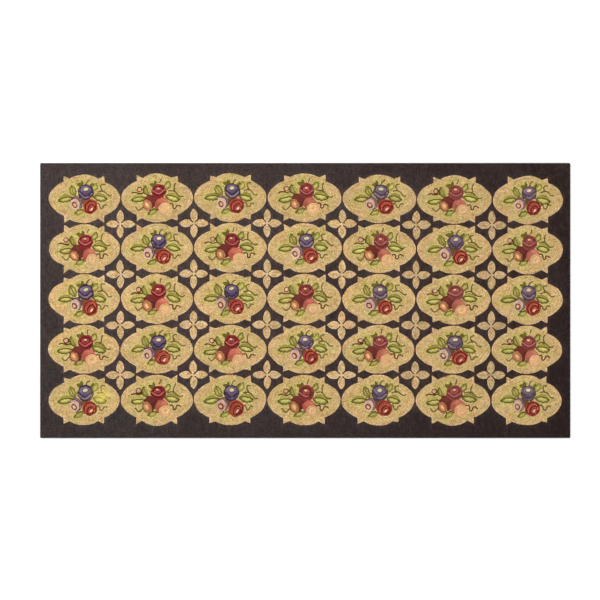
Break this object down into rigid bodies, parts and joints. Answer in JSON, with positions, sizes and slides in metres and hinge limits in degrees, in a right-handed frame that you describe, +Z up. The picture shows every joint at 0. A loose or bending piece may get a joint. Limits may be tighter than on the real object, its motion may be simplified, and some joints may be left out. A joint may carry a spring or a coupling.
{
  "type": "hooked rug",
  "caption": "Rectangular hooked wool rug lying flat: rose-bouquet medallions in rows on a dark ground, with four-petal flowers between them.",
  "frame": {"origin": "middle of the flat underside, on the surface that the rug lies on", "axes": "+X along the rug's length, +Y across it towards the top of the pattern, +Z up out of the pile"},
  "size_m": [2.743, 1.423, 0.009],
  "materials": {
    "wool_pile": "matt looped wool pile"
  },
  "bodies": {
    "root": {"hooked_rug": "wool_pile"}
  },
  "joints": []
}
